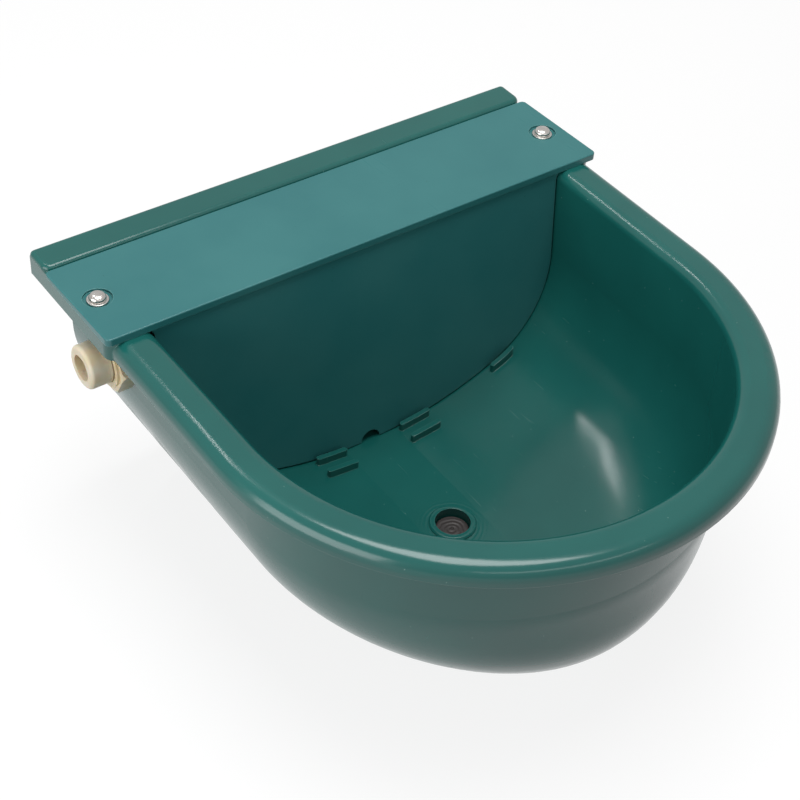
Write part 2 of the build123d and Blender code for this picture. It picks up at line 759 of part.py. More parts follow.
def float_lever():
    # Hub on the pin, short arm up into the piston, and a socket for the float's arm.
    short_angle = 90 + rest_drop_angle - swing_angle / 2
    hub = Rot(90, 0, 0) * Cylinder(lever_hub_radius, lever_width)
    tip_place = Rot(0, -short_angle, 0) * Pos(pivot_drop, 0, 0)
    tip = tip_place * Rot(90, 0, 0) * Cylinder(lever_tip_radius, lever_tip_width)
    blade_outline = Polyline(
        (0, -lever_blade_root / 2),
        (pivot_drop, -lever_blade_tip / 2),
        (pivot_drop, lever_blade_tip / 2),
        (0, lever_blade_root / 2),
        close=True,
    )
    blade = extrude(Plane.XZ * make_face(blade_outline), lever_tip_width / 2, both=True)
    blade = Rot(0, -short_angle, 0) * blade
    neck_length = socket_start + lever_neck_root
    neck = Pos(neck_length / 2, 0, 0) * Box(neck_length, lever_width, lever_neck_height)
    socket_end = socket_start + socket_length
    socket = rod(socket_radius, socket_start, socket_end)
    socket = chamfer(socket.edges().filter_by(GeomType.CIRCLE), socket_chamfer)
    boss = Pos(clamp_distance, 0) * post(clamp_boss_diameter / 2, 0, clamp_seat)
    lever = hub + tip + blade + neck + socket + boss
    lever -= Rot(90, 0, 0) * Cylinder(pin_diameter / 2 + pin_clearance, 2 * lever_width)
    lever -= rod(arm_diameter / 2 + arm_clearance, socket_end - arm_insert, socket_end + cut_over)
    clamp_hole = post(clamp_screw_diameter / 2 + thread_clearance, 0, clamp_seat + cut_over)
    lever -= Pos(clamp_distance, 0) * clamp_hole
    return on_lever(lever)


def arm_clamp_screw():
    # Hand screw that holds the arm in the socket.
    head_bottom = clamp_seat + clamp_head_gap
    head_top = head_bottom + clamp_head_height
    shank = post(clamp_screw_diameter / 2, arm_diameter / 2 + arm_clearance, head_bottom)
    head = chamfer(post(clamp_head_diameter / 2, head_bottom, head_top).edges(), clamp_head_chamfer)
    groove = post(clamp_groove_radius, head_bottom - cut_over, head_top + cut_over)
    groove_distance = clamp_head_diameter / 2 + clamp_groove_radius - clamp_groove_depth
    for place in PolarLocations(groove_distance, clamp_lobes):
        head -= place * groove
    return on_lever(Pos(clamp_distance, 0) * (shank + head))


def float_arm():
    start = socket_start + socket_length - arm_insert + arm_clearance
    end = float_end + float_seam_height + float_nut_thickness + arm_end_reach
    arm = rod(arm_diameter / 2, start, end)
    return on_lever(chamfer(arm.edges().filter_by(GeomType.CIRCLE), arm_end_chamfer))


def rounded_block(length, width, height, radius):
    body = Box(length, width, height)
    return fillet(body.edges(), radius)


def float_shell():
    # Blow-moulded float: a hollow rounded block with a seam round it and a tube for the arm.
    skin = rounded_block(float_length, float_width, float_height, float_edge_radius)
    seam_length = float_length + 2 * float_seam_height
    seam_width = float_width + 2 * float_seam_height
    seam_outline = RectangleRounded(seam_length, seam_width, float_edge_radius + float_seam_height)
    seam = extrude(seam_outline, float_seam_thickness / 2, both=True)
    hollow = rounded_block(
        float_length - 2 * float_wall,
        float_width - 2 * float_wall,
        float_height - 2 * float_wall,
        float_edge_radius - float_wall,
    )
    bore_radius = arm_diameter / 2 + arm_clearance
    to_arm = Pos(0, -float_offset, 0)
    hollow -= to_arm * rod(bore_radius + float_tube_wall, -float_length / 2, float_length / 2)
    body = skin + seam - hollow - to_arm * rod(bore_radius, -float_length, float_length)
    return on_lever(Pos(float_distance, float_offset, 0) * body)


def float_nuts():
    # One nut on each side of the float.
    hexagon = RegularPolygon(float_nut_flats / 2, 6, major_radius=False)
    nut = extrude(Plane.YZ * hexagon, float_nut_thickness)
    nut -= rod(arm_diameter / 2 + thread_clearance, -cut_over, float_nut_thickness + cut_over)
    inner_start = float_start - float_seam_height - float_nut_thickness
    outer_start = float_end + float_seam_height
    return [on_lever(Pos(start, 0, 0) * nut) for start in (inner_start, outer_start)]


def drain_plug():
    # Rubber bung with a flange under the collar and a tab to pull it by.
    top_z = drain_ring_top - plug_sink
    flange_top = collar_bottom - plug_seat_gap
    flange_bottom = flange_top - plug_flange_thickness
    radius = drain_diameter / 2 - plug_clearance
    stem = post(radius, flange_top, top_z)
    stem = chamfer(stem.edges().sort_by(Axis.Z)[-1], plug_top_chamfer)
    stem += post(plug_gate_diameter / 2, top_z, top_z + plug_gate_height)
    for level in plug_rib_levels:
        rib_z = flange_top + level * (top_z - flange_top)
        stem += post(radius + plug_rib_height, rib_z - plug_rib_width / 2, rib_z + plug_rib_width / 2)
    flange = post(plug_flange_diameter / 2, flange_bottom, flange_top)
    flange = chamfer(flange.edges().sort_by(Axis.Z)[0], plug_flange_chamfer)
    hole_z = flange_bottom - plug_tab_height + plug_tab_width / 2
    tab_top = flange_top - plug_flange_chamfer
    tab_outline = Pos(0, (tab_top + hole_z) / 2) * Rectangle(plug_tab_width, tab_top - hole_z)
    tab_outline += Pos(0, hole_z) * Circle(plug_tab_width / 2)
    tab_outline -= Pos(0, hole_z) * Circle(plug_tab_hole / 2)
    tab = extrude(Plane.XZ * tab_outline, plug_tab_thickness / 2, both=True)
    return Pos(0, -drain_distance) * (stem + flange + tab)


def write(name, shape):
    # A list of solids is written as one group.
    if isinstance(shape, list):
        shape = Compound(children=shape)
    export_step(shape, f"parts/{name}.step")


os.makedirs("parts", exist_ok=True)
write("bowl_body", bowl_body())
write("float_cover", float_cover())
write("cover_screws", cover_screws())
write("cover_washers", cover_washers())
write("valve_body", valve_body())
write("valve_gasket", valve_gasket())
write("valve_locknut", valve_locknut())
write("valve_nozzle", valve_nozzle())
write("inlet_strainer", inlet_strainer())
write("nut_washer", nut_washer())
write("piston", piston())
write("piston_seal", piston_seal())
write("pivot_pin", pivot_pin())
write("pin_clip", pin_clip())
write("float_lever", float_lever())
write("arm_clamp_screw", arm_clamp_screw())
write("float_arm", float_arm())
write("float_shell", float_shell())
write("float_nuts", float_nuts())
write("drain_plug", drain_plug())
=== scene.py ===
import json
import math
import bpy
from mathutils import Matrix, Vector


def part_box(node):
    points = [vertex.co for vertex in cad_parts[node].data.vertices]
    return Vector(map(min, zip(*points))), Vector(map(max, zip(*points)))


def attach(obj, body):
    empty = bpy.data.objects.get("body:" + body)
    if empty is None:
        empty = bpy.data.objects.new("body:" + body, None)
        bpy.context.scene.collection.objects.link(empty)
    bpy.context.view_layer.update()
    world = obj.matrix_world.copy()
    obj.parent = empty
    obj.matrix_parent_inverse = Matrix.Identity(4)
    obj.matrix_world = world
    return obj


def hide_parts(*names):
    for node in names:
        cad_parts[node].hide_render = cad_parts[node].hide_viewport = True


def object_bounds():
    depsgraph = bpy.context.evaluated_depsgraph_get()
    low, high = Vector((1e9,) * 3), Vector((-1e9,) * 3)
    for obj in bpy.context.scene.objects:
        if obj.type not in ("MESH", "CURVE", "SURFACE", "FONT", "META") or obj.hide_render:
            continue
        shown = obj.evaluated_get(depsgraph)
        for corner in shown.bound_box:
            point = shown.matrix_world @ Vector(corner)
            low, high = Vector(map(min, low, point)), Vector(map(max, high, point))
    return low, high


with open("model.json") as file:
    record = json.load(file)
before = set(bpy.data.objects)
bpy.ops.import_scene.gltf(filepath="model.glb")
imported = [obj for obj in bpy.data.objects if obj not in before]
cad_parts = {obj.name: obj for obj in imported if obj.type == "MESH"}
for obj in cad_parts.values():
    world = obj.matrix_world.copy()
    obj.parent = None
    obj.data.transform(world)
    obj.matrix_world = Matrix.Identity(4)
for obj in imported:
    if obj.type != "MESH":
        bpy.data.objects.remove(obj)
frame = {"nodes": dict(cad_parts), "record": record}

# A livestock drinking bowl, dressed for a studio picture.
# Blender works in metres in the frame of the CAD model. Sizes below are in mm and go through mm().

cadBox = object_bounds()
nodes = frame["nodes"]
print("frame loaded:", len(nodes), "nodes")


def mm(value):
    return value * 0.001


def mmVector(values):
    return Vector([mm(value) for value in values])


cameraSetup = {
    "place": (-375.67, -577.86, 506.05),
    "aim": (-31.34, -144.01, 0.37),
    "roll": 4.278,            # degrees
    "lens": 77.591,
    "frameWidth": 36.0,
    "nearClip": 10.0,
}


def makeCamera(setup):
    lens = bpy.data.cameras.new("studioCamera")
    lens.sensor_width = setup["frameWidth"]
    lens.lens = setup["lens"]
    lens.clip_start = mm(setup["nearClip"])
    camera = bpy.data.objects.new("studioCamera", lens)
    bpy.context.scene.collection.objects.link(camera)
    place = mmVector(setup["place"])
    look = (mmVector(setup["aim"]) - place).normalized()
    turn = look.to_track_quat("-Z", "Y").to_matrix().to_4x4()
    roll = Matrix.Rotation(math.radians(setup["roll"]), 4, "Z")
    camera.matrix_world = Matrix.Translation(place) @ turn @ roll
    bpy.context.scene.camera = camera


makeCamera(cameraSetup)
print("camera placed")


def linearOf(hexColour):
    # sRGB hex to the linear colour that a shader takes, with the numbers of the sRGB standard
    parts = [int(hexColour[start:start + 2], 16) / 255 for start in (0, 2, 4)]
    bent = [part / 12.92 if part <= 0.04045 else ((part + 0.055) / 1.055) ** 2.4 for part in parts]
    return (*bent, 1.0)


def addNode(tree, kind, settings=None, links=None):
    # settings go to the node's properties or its input sockets, links join an output to an input socket
    node = tree.nodes.new(kind)
    for name, value in (settings or {}).items():
        if isinstance(name, str) and hasattr(node, name):
            setattr(node, name, value)
        else:
            node.inputs[name].default_value = value
    for name, source in (links or {}).items():
        tree.links.new(source, node.inputs[name])
    return node


def patternScale(sizeInMm):
    # the scale at which a pattern's lumps are about this many mm across
    return 1.0 / mm(sizeInMm)


# The sockets of a Mix node that mixes colours, by number, because their names repeat for each data type.
mixShare = 0
mixFrom = 6
mixTo = 7
mixResult = 2

studio = {
    "floorGap": 1.0,              # below the lowest point of the bowl
    "floorWidth": 6000.0,
    "floorColour": "7C7C7C",      # the part of the paper's brightness that a shadow takes away
    "floorGlow": 0.83,            # the part that stays, so that the sweep reads as white
    "bounceColour": "444442",     # what the paper throws back on the bowl
    "skyColour": "FFFFFF",
    "skyGlow": 0.20,              # what the room adds to the light on the bowl
    "skyBackdrop": 1.0,           # the white behind the bowl
    "skyMirror": 0.60,            # the dimmer room that the bowl's gloss shows
    "aim": (0.0, -140.0, 0.0),
}

lamps = {
    # the main light
    "overheadSoftbox": {"place": (0.0, -140.0, 1300.0), "size": (800.0, 800.0), "power": 13.0},
    # the streak on the floor of the bowl
    "stripLamp": {"place": (-216.0, 568.0, 948.0), "size": (400.0, 42.0), "power": 0.85},
    # the bright line along the rim's front
    "frontSoftbox": {"place": (-80.0, -1290.0, 800.0), "size": (1300.0, 90.0), "power": 1.3},
    # lights the inlet and the left wall
    "leftFill": {"place": (-1100.0, -260.0, 260.0), "size": (900.0, 700.0), "power": 7.0},
}


def studioPath(tree):
    # 1 for rays that the camera, gloss or glass sends out, 0 for the light that the bowl receives
    path = addNode(tree, "ShaderNodeLightPath")
    seen = addNode(tree, "ShaderNodeMath", {"operation": "MAXIMUM"},
                   {0: path.outputs["Is Camera Ray"], 1: path.outputs["Is Glossy Ray"]})
    return addNode(tree, "ShaderNodeMath", {"operation": "MAXIMUM"},
                   {0: seen.outputs[0], 1: path.outputs["Is Transmission Ray"]}).outputs[0]


def makeFloor(setup):
    low = cadBox[0][2] - mm(setup["floorGap"])
    reach = mm(setup["floorWidth"]) / 2
    mesh = bpy.data.meshes.new("studioFloor")
    corners = [(-reach, -reach, low), (reach, -reach, low), (reach, reach, low), (-reach, reach, low)]
    mesh.from_pydata(corners, [], [(0, 1, 2, 3)])
    floor = bpy.data.objects.new("studioFloor", mesh)
    bpy.context.scene.collection.objects.link(floor)
    # painted paper sweep: matt and white, with a faint soft shadow
    material = bpy.data.materials.new("paintedPaperSweep")
    material.use_nodes = True
    tree = material.node_tree
    tree.nodes.clear()
    output = addNode(tree, "ShaderNodeOutputMaterial")
    paper = addNode(tree, "ShaderNodeBsdfDiffuse", {"Color": linearOf(setup["floorColour"])})
    glow = addNode(tree, "ShaderNodeEmission", {"Strength": setup["floorGlow"]})
    white = addNode(tree, "ShaderNodeAddShader", None, {0: paper.outputs[0], 1: glow.outputs[0]})
    bounce = addNode(tree, "ShaderNodeBsdfDiffuse", {"Color": linearOf(setup["bounceColour"])})
    choice = addNode(tree, "ShaderNodeMixShader", None,
                     {0: studioPath(tree), 1: bounce.outputs[0], 2: white.outputs[0]})
    tree.links.new(choice.outputs[0], output.inputs["Surface"])
    mesh.materials.append(material)


def makeSky(setup):
    world = bpy.data.worlds.new("studioSky")
    bpy.context.scene.world = world
    world.use_nodes = True
    tree = world.node_tree
    tree.nodes.clear()
    output = addNode(tree, "ShaderNodeOutputWorld")
    white = linearOf(setup["skyColour"])
    glow = addNode(tree, "ShaderNodeBackground", {"Color": white, "Strength": setup["skyGlow"]})
    gloss = addNode(tree, "ShaderNodeLightPath").outputs["Is Glossy Ray"]
    level = addNode(tree, "ShaderNodeMapRange",
                    {"To Min": setup["skyBackdrop"], "To Max": setup["skyMirror"]}, {"Value": gloss})
    backdrop = addNode(tree, "ShaderNodeBackground", {"Color": white}, {"Strength": level.outputs[0]})
    choice = addNode(tree, "ShaderNodeMixShader", None,
                     {0: studioPath(tree), 1: glow.outputs[0], 2: backdrop.outputs[0]})
    tree.links.new(choice.outputs[0], output.inputs["Surface"])


def makeLamp(name, setup, aim):
    lamp = bpy.data.lights.new(name, "AREA")
    lamp.shape = "RECTANGLE"
    lamp.size = mm(setup["size"][0])
    lamp.size_y = mm(setup["size"][1])
    lamp.energy = setup["power"]
    lampObject = bpy.data.objects.new(name, lamp)
    bpy.context.scene.collection.objects.link(lampObject)
    place = mmVector(setup["place"])
    look = (mmVector(aim) - place).normalized()
    turn = look.to_track_quat("-Z", "Y").to_matrix().to_4x4()
    lampObject.matrix_world = Matrix.Translation(place) @ turn


makeFloor(studio)
makeSky(studio)
for lampName, lampSetup in lamps.items():
    makeLamp(lampName, lampSetup, studio["aim"])
bpy.context.scene.view_settings.view_transform = "Standard"
print("studio lit")

# Where the drain's axis stands, for the turned rings round it and the swirl on the plug.
plugLow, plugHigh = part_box("drain_plug")
drainPlace = (0.0, (plugLow[1] + plugHigh[1]) / 2, 0.0)

# One entry for each finish, with sizes and depths in mm: the colour and the shade it drifts to over cloudMm,
# a skin of lumps grainMm across, and where it has them a slow wave of the wall, hair scratches scratchMm
# apart, a painted highlight along edges edgeMm wide, nicks speckMm apart, and rings round the drain that
# fade out at reachMm.
# Real skin, tool marks and hair scratches are well under 0.5 mm across, too fine to show, so all of them are
# drawn as coarse as they need to show.
finishes = {
    "bowl_plastic": {
        # High-density polyethylene, injection moulded in a polished tool: deep green, glossy enough for a
        # sharp lamp streak, with shallow orange peel, fine handling scratches and a painted highlight along
        # its edges.
        "name": "mouldedPolyethyleneGloss", "colour": "165C57", "shade": "19635D", "cloudMm": 60.0,
        "shader": {"Roughness": 0.18, "IOR": 1.54}, "grainMm": 1.3, "grainDepth": 0.012,
        "waveMm": 16.0, "waveDepth": 0.10, "scratchMm": 1.1, "scratchDepth": 0.012,
        # the paler edge colour is a painted highlight along the edges
        "edgeMm": 0.5, "edgeHighlightColour": "4C9089", "edgeShare": 0.75, "speckMm": 7.0, "speckColour": "7FA8A2",
        "rings": {"spacingMm": 2.1, "reachMm": 18.0, "depth": 0.035},
    },
    "cover_plastic": {
        # The same plastic from a finer-blasted tool: a bluer, lighter green with a satin face that
        # spreads the lamps, a few scuffs, and thin pale lines along its edges that are a painted highlight.
        "name": "mouldedPolyethyleneSatin", "colour": "2D7375", "shade": "347879", "cloudMm": 42.0,
        "shader": {"Roughness": 0.36, "IOR": 1.54}, "grainMm": 0.7, "grainDepth": 0.016,
        "waveMm": 22.0, "waveDepth": 0.06, "scratchMm": 1.6, "scratchDepth": 0.012,
        # the paler edge colour is a painted highlight along the edges
        "edgeMm": 0.5, "edgeHighlightColour": "6FB0AE", "edgeShare": 0.9, "speckMm": 9.0, "speckColour": "1B5557",
    },
    "stainless": {
        # A2 stainless, cold headed and tumbled: bright, with a slight haze.
        "name": "coldHeadedStainless", "colour": "E2DEDA", "shade": "CFC9C4", "cloudMm": 3.0,
        "shader": {"Metallic": 1.0, "Roughness": 0.22}, "grainMm": 0.5, "grainDepth": 0.008,
    },
    "stainless_washer": {
        # Rolled stainless sheet, stamped: a flat bright ring, a little hazier than the screw.
        "name": "stampedStainlessSheet", "colour": "D8D6D2", "shade": "C4C2BE", "cloudMm": 3.0,
        "shader": {"Metallic": 1.0, "Roughness": 0.28}, "grainMm": 0.6, "grainDepth": 0.008,
    },
    "nylon": {
        # Natural nylon 6, moulded: milky cream that lets light into the wall, waxy rather than shiny.
        "name": "mouldedNaturalNylon", "colour": "F5EAD2", "shade": "EAD8AE", "cloudMm": 11.0,
        "shader": {"Roughness": 0.36, "IOR": 1.53, "Subsurface Weight": 0.15, "Subsurface Scale": 0.003},
        "grainMm": 1.2, "grainDepth": 0.02,
    },
    "nylon_nut": {
        # Natural nylon 6 again, moulded in thicker walls: a shade yellower.
        "name": "mouldedNaturalNylonNut", "colour": "F4E8CF", "shade": "E6D2A4", "cloudMm": 9.0,
        "shader": {"Roughness": 0.38, "IOR": 1.53, "Subsurface Weight": 0.15, "Subsurface Scale": 0.003},
        "grainMm": 1.2, "grainDepth": 0.02,
    },
    "nylon_washer": {
        # Nylon sheet, punched: flat, dull and slightly grey.
        "name": "punchedNylonSheet", "colour": "E9E2D2", "shade": "DDD5C2", "cloudMm": 8.0,
        "shader": {"Roughness": 0.46, "IOR": 1.53}, "grainMm": 0.8, "grainDepth": 0.015,
    },
    "nozzle_plastic": {
        # Acetal rod, turned: clean white with a fine uneven skin.
        "name": "turnedAcetalWhite", "colour": "E8E8E4", "shade": "DCDCD6", "cloudMm": 4.0,
        "shader": {"Roughness": 0.34, "IOR": 1.48}, "grainMm": 0.5, "grainDepth": 0.012,
    },
    "strainer_plastic": {
        # Polypropylene, moulded thin: a cool translucent white.
        "name": "mouldedPolypropylene", "colour": "D8D8D2", "shade": "CACAC2", "cloudMm": 4.0,
        "shader": {"Roughness": 0.4, "IOR": 1.49}, "grainMm": 0.6, "grainDepth": 0.015,
    },
    "piston_plastic": {
        # Natural acetal, turned: warm white and slippery smooth.
        "name": "turnedAcetalNatural", "colour": "E6DFCF", "shade": "DAD1BC", "cloudMm": 5.0,
        "shader": {"Roughness": 0.33, "IOR": 1.48}, "grainMm": 0.5, "grainDepth": 0.012,
    },
    "lever_plastic": {
        # Glass-filled nylon, moulded: cream with a slightly coarse skin.
        "name": "mouldedFilledNylon", "colour": "E3D9C4", "shade": "D4C7AA", "cloudMm": 8.0,
        "shader": {"Roughness": 0.44, "IOR": 1.53}, "grainMm": 0.7, "grainDepth": 0.03,
    },
    "clamp_plastic": {
        # Black nylon, moulded with a spark-eroded skin: matt charcoal.
        "name": "mouldedBlackNylon", "colour": "2B2B2B", "shade": "343434", "cloudMm": 4.0,
        "shader": {"Roughness": 0.5, "IOR": 1.53}, "grainMm": 0.5, "grainDepth": 0.04,
        # the paler edge colour is a painted highlight along the edges
        "edgeMm": 0.3, "edgeHighlightColour": "565656", "edgeShare": 0.6,
    },
    "arm_steel": {
        # Stainless rod, cold drawn: bright, with faint water stains.
        "name": "drawnStainlessRod", "colour": "CFD0D0", "shade": "B4B5B4", "cloudMm": 14.0,
        "shader": {"Metallic": 1.0, "Roughness": 0.24}, "grainMm": 0.5, "grainDepth": 0.008,
    },
    "float_plastic": {
        # Polyethylene, blow moulded: a soft milky white with gentle waves in the wall.
        "name": "blownPolyethyleneWhite", "colour": "E9E9E4", "shade": "DCDDD6", "cloudMm": 26.0,
        "shader": {"Roughness": 0.42, "IOR": 1.51, "Subsurface Weight": 0.3, "Subsurface Scale": 0.004},
        "grainMm": 1.6, "grainDepth": 0.05, "waveMm": 18.0, "waveDepth": 0.3,
    },
    "brass": {
        # Brass bar, turned: warm yellow with brown tarnish in patches.
        "name": "turnedBrass", "colour": "CDA75F", "shade": "A37B3C", "cloudMm": 3.0,
        "shader": {"Metallic": 1.0, "Roughness": 0.3}, "grainMm": 0.5, "grainDepth": 0.01,
    },
    "seal_rubber": {
        # Nitrile rubber, pressed: dull black.
        "name": "pressedNitrileRubber", "colour": "1E1E1E", "shade": "272727", "cloudMm": 4.0,
        "shader": {"Roughness": 0.7, "IOR": 1.52}, "grainMm": 0.5, "grainDepth": 0.04,
    },
    "plug_rubber": {
        # Grey rubber, pressed: flat brown-grey with swirls where it flowed from the gate.
        "name": "pressedGreyRubber", "colour": "3B3534", "shade": "322D2C", "cloudMm": 6.0,
        "shader": {"Roughness": 0.52, "IOR": 1.52}, "grainMm": 0.8, "grainDepth": 0.04,
        # the paler edge colour is a painted highlight along the edges
        "edgeMm": 0.4, "edgeHighlightColour": "57504E", "edgeShare": 0.5,
        "rings": {"spacingMm": 2.2, "reachMm": 9.0, "depth": 0.10},
    },
}


# What all finishes share, mostly as settings of the nodes that make the patterns.
surfaceTuning = {
    "cloudNoise": {"Detail": 3.0},
    "cloudDrift": {"From Min": 0.35, "From Max": 0.65},      # noise levels, from the colour to the shade
    "cloudHaze": {"From Min": 0.35, "From Max": 0.7},        # noise levels, from clear to hazy
    "hazeShares": (0.9, 1.2),                                # of the roughness, from clear to hazy
    "lumpNoise": {"Detail": 1.5},
    "bump": {"Strength": 1.0},
    "bevel": {"samples": 6},
    # painted edge highlight: paler colour where the rounded normal turns away from the flat one
    "paintedEdgeHighlight": {"From Min": 0.995, "From Max": 0.86},       # cosine between flat and rounded normal
    "speck": {"From Min": 0.032, "From Max": 0.02},          # distance from a nick's middle, in speckMm
    "scratchSlant": {"Rotation": (0.3, 0.2, 0.9), "Scale": (1.0, 0.05, 0.3)},
    "scratchNoise": {"Detail": 2.0},
    "scratchLine": {"From Min": 0.69, "From Max": 0.75},     # noise levels, from clear to scratched
    "scratchPatch": {"From Min": 0.5, "From Max": 0.62},     # cloud levels that have scratches
    "scratchHaze": 0.25,                                     # roughness that a scratch adds
    "ringWobbleMm": 6.0,                                     # lumps that push the rings out of round
    "ringPushMm": 1.6,
    "ringFade": 0.7,                                         # share of reachMm where they start to fade
}


def surfaceColour(tree, look, place, clouds, rounded):
    # cloudy plastic or metal, then a painted highlight on its edges, then dust and tiny nicks about 0.5 mm
    # across
    drift = addNode(tree, "ShaderNodeMapRange", surfaceTuning["cloudDrift"], {"Value": clouds})
    colour = addNode(tree, "ShaderNodeMix", {"data_type": "RGBA", mixFrom: linearOf(look["colour"]),
                     mixTo: linearOf(look["shade"])}, {mixShare: drift.outputs[0]}).outputs[mixResult]
    # painted edge highlight: the colour turns to the paler edge colour where the bevel's rounded normal
    # leaves the flat one
    if rounded:
        flat = addNode(tree, "ShaderNodeNewGeometry").outputs["Normal"]
        turn = addNode(tree, "ShaderNodeVectorMath", {"operation": "DOT_PRODUCT"}, {0: rounded, 1: flat})
        edgeHighlight = addNode(tree, "ShaderNodeMapRange",
                       {**surfaceTuning["paintedEdgeHighlight"], "To Max": look["edgeShare"]},
                       {"Value": turn.outputs["Value"]})
        colour = addNode(tree, "ShaderNodeMix", {"data_type": "RGBA", mixTo: linearOf(look["edgeHighlightColour"])},
                         {mixShare: edgeHighlight.outputs[0], mixFrom: colour}).outputs[mixResult]
    if "speckMm" in look:
        cells = addNode(tree, "ShaderNodeTexVoronoi", {"Scale": patternScale(look["speckMm"])},
                        {"Vector": place})
        speck = addNode(tree, "ShaderNodeMapRange", surfaceTuning["speck"],
                        {"Value": cells.outputs["Distance"]})
        colour = addNode(tree, "ShaderNodeMix", {"data_type": "RGBA", mixTo: linearOf(look["speckColour"])},
                         {mixShare: speck.outputs[0], mixFrom: colour}).outputs[mixResult]
    return colour


def skinBumps(tree, look, place, normal):
    # the grain of the skin, and the slow wave of the wall
    heights = [(look["grainMm"], look["grainDepth"])]
    if "waveMm" in look:
        heights.append((look["waveMm"], look["waveDepth"]))
    for size, depth in heights:
        lumps = addNode(tree, "ShaderNodeTexNoise",
                        {**surfaceTuning["lumpNoise"], "Scale": patternScale(size)}, {"Vector": place})
        links = {"Height": lumps.outputs["Fac"]}
        if normal:
            links["Normal"] = normal
        bump = addNode(tree, "ShaderNodeBump", {**surfaceTuning["bump"], "Distance": mm(depth)}, links)
        normal = bump.outputs["Normal"]
    return normal


def hairScratches(tree, look, place, clouds, normal, haze):
    # long thin noise along a slant, thinned out by the clouds to a few hair scratches
    slant = addNode(tree, "ShaderNodeMapping", surfaceTuning["scratchSlant"], {"Vector": place})
    hairs = addNode(tree, "ShaderNodeTexNoise",
                    {**surfaceTuning["scratchNoise"], "Scale": patternScale(look["scratchMm"])},
                    {"Vector": slant.outputs["Vector"]})
    line = addNode(tree, "ShaderNodeMapRange", surfaceTuning["scratchLine"], {"Value": hairs.outputs["Fac"]})
    patch = addNode(tree, "ShaderNodeMapRange", surfaceTuning["scratchPatch"], {"Value": clouds})
    hair = addNode(tree, "ShaderNodeMath", {"operation": "MULTIPLY"},
                   {0: line.outputs[0], 1: patch.outputs[0]}).outputs[0]
    groove = addNode(tree, "ShaderNodeBump",
                     {**surfaceTuning["bump"], "Distance": mm(look["scratchDepth"]), "invert": True},
                     {"Height": hair, "Normal": normal})
    haze = addNode(tree, "ShaderNodeMath", {"operation": "MULTIPLY_ADD", 1: surfaceTuning["scratchHaze"]},
                   {0: hair, 2: haze}).outputs[0]
    return groove.outputs["Normal"], haze


def drainRings(tree, rings, place, normal):
    # rings round the drain's axis, pushed a little out of round, that fade with the distance
    shifted = addNode(tree, "ShaderNodeVectorMath", {"operation": "SUBTRACT", 1: drainPlace}, {0: place})
    lumps = addNode(tree, "ShaderNodeTexNoise", {"Scale": patternScale(surfaceTuning["ringWobbleMm"])},
                    {"Vector": place})
    wobble = addNode(tree, "ShaderNodeVectorMath",
                     {"operation": "SCALE", "Scale": mm(surfaceTuning["ringPushMm"])},
                     {0: lumps.outputs["Color"]})
    pushed = addNode(tree, "ShaderNodeVectorMath", {"operation": "ADD"},
                     {0: shifted.outputs[0], 1: wobble.outputs[0]})
    level = addNode(tree, "ShaderNodeVectorMath", {"operation": "MULTIPLY", 1: (1.0, 1.0, 0.0)},
                    {0: pushed.outputs[0]})
    away = addNode(tree, "ShaderNodeVectorMath", {"operation": "LENGTH"},
                   {0: level.outputs[0]}).outputs["Value"]
    turns = addNode(tree, "ShaderNodeMath",
                    {"operation": "MULTIPLY", 1: 2 * math.pi / mm(rings["spacingMm"])}, {0: away})
    wave = addNode(tree, "ShaderNodeMath", {"operation": "SINE"}, {0: turns.outputs[0]})
    near = addNode(tree, "ShaderNodeMapRange", {"From Min": mm(rings["reachMm"]),
                   "From Max": mm(rings["reachMm"] * surfaceTuning["ringFade"])}, {"Value": away})
    faded = addNode(tree, "ShaderNodeMath", {"operation": "MULTIPLY"},
                    {0: wave.outputs[0], 1: near.outputs[0]})
    bump = addNode(tree, "ShaderNodeBump", {**surfaceTuning["bump"], "Distance": mm(rings["depth"])},
                   {"Height": faded.outputs[0], "Normal": normal})
    return bump.outputs["Normal"]


def makeFinish(look):
    # one Principled material from an entry above, with all its patterns in object space
    material = bpy.data.materials.new(look["name"])
    material.use_nodes = True
    tree = material.node_tree
    tree.nodes.clear()
    output = addNode(tree, "ShaderNodeOutputMaterial")
    shader = addNode(tree, "ShaderNodeBsdfPrincipled", look["shader"])
    tree.links.new(shader.outputs["BSDF"], output.inputs["Surface"])
    place = addNode(tree, "ShaderNodeTexCoord").outputs["Object"]
    clouds = addNode(tree, "ShaderNodeTexNoise",
                     {**surfaceTuning["cloudNoise"], "Scale": patternScale(look["cloudMm"])},
                     {"Vector": place}).outputs["Fac"]
    normal = None
    if "edgeMm" in look:
        bevel = addNode(tree, "ShaderNodeBevel", {**surfaceTuning["bevel"], "Radius": mm(look["edgeMm"])})
        normal = bevel.outputs["Normal"]
    tree.links.new(surfaceColour(tree, look, place, clouds, normal), shader.inputs["Base Color"])

    normal = skinBumps(tree, look, place, normal)
    clearest, haziest = [look["shader"]["Roughness"] * share for share in surfaceTuning["hazeShares"]]
    haze = addNode(tree, "ShaderNodeMapRange",
                   {**surfaceTuning["cloudHaze"], "To Min": clearest, "To Max": haziest},
                   {"Value": clouds}).outputs[0]
    if "scratchMm" in look:
        normal, haze = hairScratches(tree, look, place, clouds, normal, haze)
    tree.links.new(haze, shader.inputs["Roughness"])
    if "rings" in look:
        normal = drainRings(tree, look["rings"], place, normal)
    tree.links.new(normal, shader.inputs["Normal"])
    return material


materials = {slot: makeFinish(look) for slot, look in finishes.items()}
print("finishes made:", len(materials))

for part in frame["record"]["subparts"]:
    node = nodes[part["node"]]
    node.data.materials.clear()
    node.data.materials.append(materials[part["material_slot"]])
print("nodes dressed")


